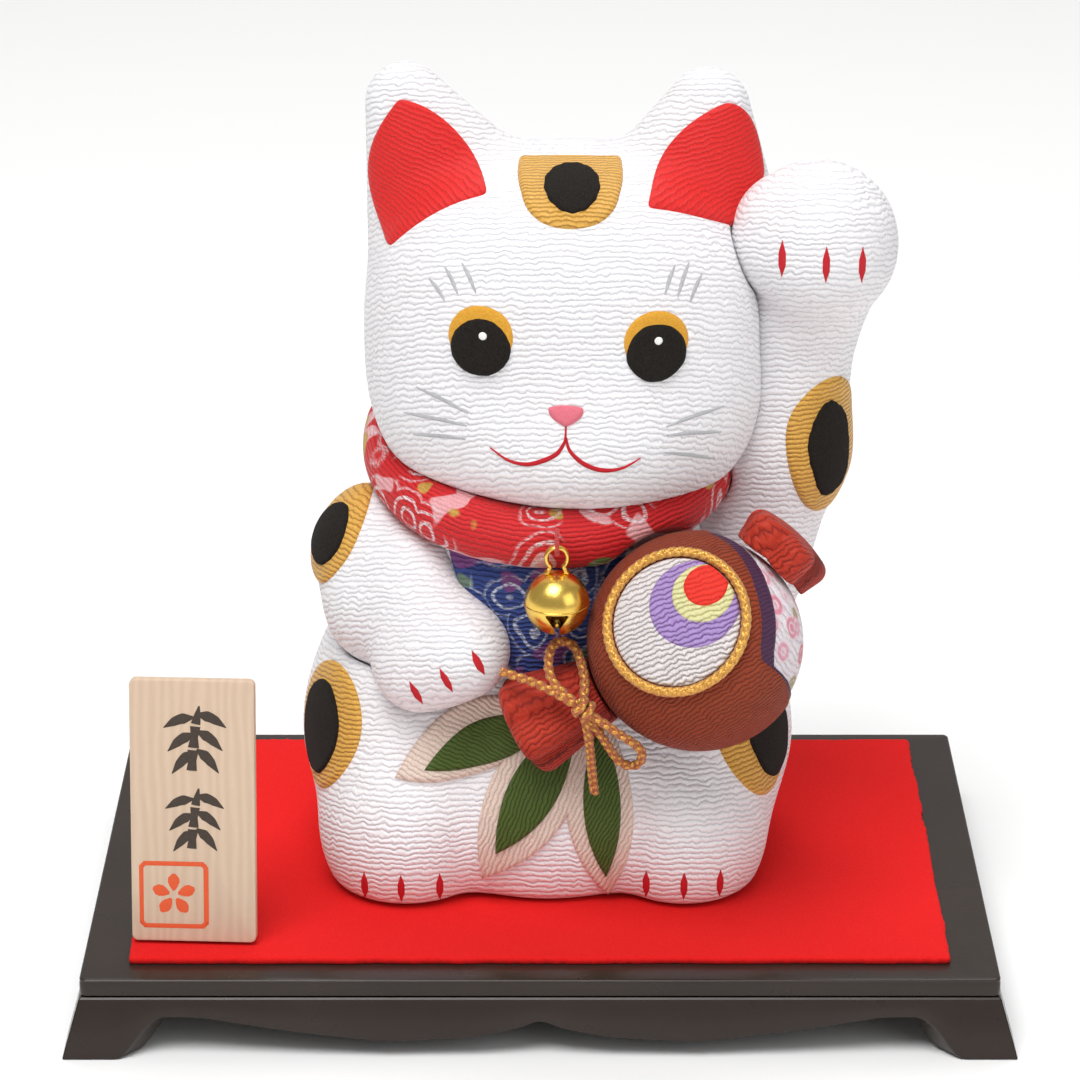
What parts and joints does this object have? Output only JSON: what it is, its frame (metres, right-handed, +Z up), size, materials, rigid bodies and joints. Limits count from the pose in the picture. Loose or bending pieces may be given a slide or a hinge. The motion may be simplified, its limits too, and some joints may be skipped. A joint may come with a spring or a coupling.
{
  "type": "beckoning cat figurine",
  "caption": "Seated crepe-cloth beckoning cat with one paw raised, holding a drum-headed mallet, on a lacquered stand with a felt mat and a wooden tag.",
  "frame": {"origin": "under the middle of the stand, on the surface that it stands on", "axes": "+X to the viewer's right, +Y to the back, +Z up; the cat faces -Y"},
  "size_m": [0.187, 0.127, 0.1811],
  "materials": {
    "lacquered_wood": "gloss lacquer",
    "red_felt": "felt",
    "pale_wood": "satin",
    "white_crepe": "silky crepe",
    "collar_print": "printed crepe",
    "gold_crepe": "crepe",
    "black_cloth": "matt",
    "red_crepe": "crepe",
    "yellow_crepe": "crepe",
    "pink_cloth": "crepe",
    "blue_print": "printed crepe",
    "cream_crepe": "crepe",
    "green_crepe": "crepe",
    "floral_print": "printed crepe",
    "brown_crepe": "crepe",
    "purple_cloth": "satin",
    "lilac_cloth": "crepe",
    "lime_cloth": "crepe",
    "gold_cord": "metallic thread",
    "orange_crepe": "crepe",
    "red_thread": "thread",
    "polished_gold": "polished"
  },
  "bodies": {
    "stand": {"stand_top_board": "lacquered_wood", "stand_front_apron": "lacquered_wood", "stand_right_apron": "lacquered_wood", "stand_rear_apron": "lacquered_wood", "stand_left_apron": "lacquered_wood", "felt_mat": "red_felt"},
    "tag": {"tag_plate": "pale_wood", "tag_prop": "pale_wood"},
    "cat": {"body_core": "white_crepe", "head_core": "white_crepe", "resting_arm": "white_crepe", "raised_arm": "white_crepe", "tail": "white_crepe", "collar": "collar_print", "spot_forehead_gold": "gold_crepe", "spot_forehead_black": "black_cloth", "spot_shoulder_gold": "gold_crepe", "spot_shoulder_black": "black_cloth", "spot_arm_gold": "gold_crepe", "spot_arm_black": "black_cloth", "spot_left_haunch_gold": "gold_crepe", "spot_left_haunch_black": "black_cloth", "spot_right_haunch_gold": "gold_crepe", "spot_right_haunch_black": "black_cloth", "ear_left_panel": "red_crepe", "ear_right_panel": "red_crepe", "eye_left_yellow": "yellow_crepe", "eye_left_black": "black_cloth", "eye_right_yellow": "yellow_crepe", "eye_right_black": "black_cloth", "nose": "pink_cloth", "mouth": "red_crepe", "bib": "blue_print", "leaf_left_cream": "cream_crepe", "leaf_left_green": "green_crepe", "leaf_middle_cream": "cream_crepe", "leaf_middle_green": "green_crepe", "leaf_right_cream": "cream_crepe", "leaf_right_green": "green_crepe", "mallet_barrel": "floral_print", "mallet_front_cap": "brown_crepe", "mallet_trim": "purple_cloth", "medallion_white": "white_crepe", "medallion_lilac": "lilac_cloth", "medallion_lime": "lime_cloth", "medallion_red": "red_crepe", "medallion_ring_cord": "gold_cord", "mallet_handle_lower": "orange_crepe", "mallet_handle_upper": "orange_crepe", "bow_cord": "gold_cord"},
    "bell_thread": {"bell_thread_loop": "red_thread"},
    "bell": {"bell_upper_shell": "polished_gold", "bell_lower_shell": "polished_gold", "bell_bail": "polished_gold"},
    "pellet": {"bell_pellet": "polished_gold"}
  },
  "joints": [
    {"name": "cat_lift", "type": "slide", "parent": "stand", "child": "cat", "axis": [0, 0, 1], "range_m": [0, 0.06]},
    {"name": "tag_lift", "type": "slide", "parent": "stand", "child": "tag", "axis": [0, 0, 1], "range_m": [0, 0.05]},
    {"name": "thread_sway", "type": "hinge", "parent": "cat", "child": "bell_thread", "pos_m": [0.0033, -0.03, 0.0968], "axis": [0, 1, 0], "range_deg": [0, 25]},
    {"name": "bell_swing", "type": "hinge", "parent": "bell_thread", "child": "bell", "pos_m": [0.0033, -0.0343, 0.0949], "axis": [-1, 0, 0], "range_deg": [0, 45]},
    {"name": "pellet_roll", "type": "hinge", "parent": "bell", "child": "pellet", "pos_m": [0.0033, -0.034, 0.0846], "axis": [1, 0, 0], "range_deg": [-40, 40]}
  ]
}
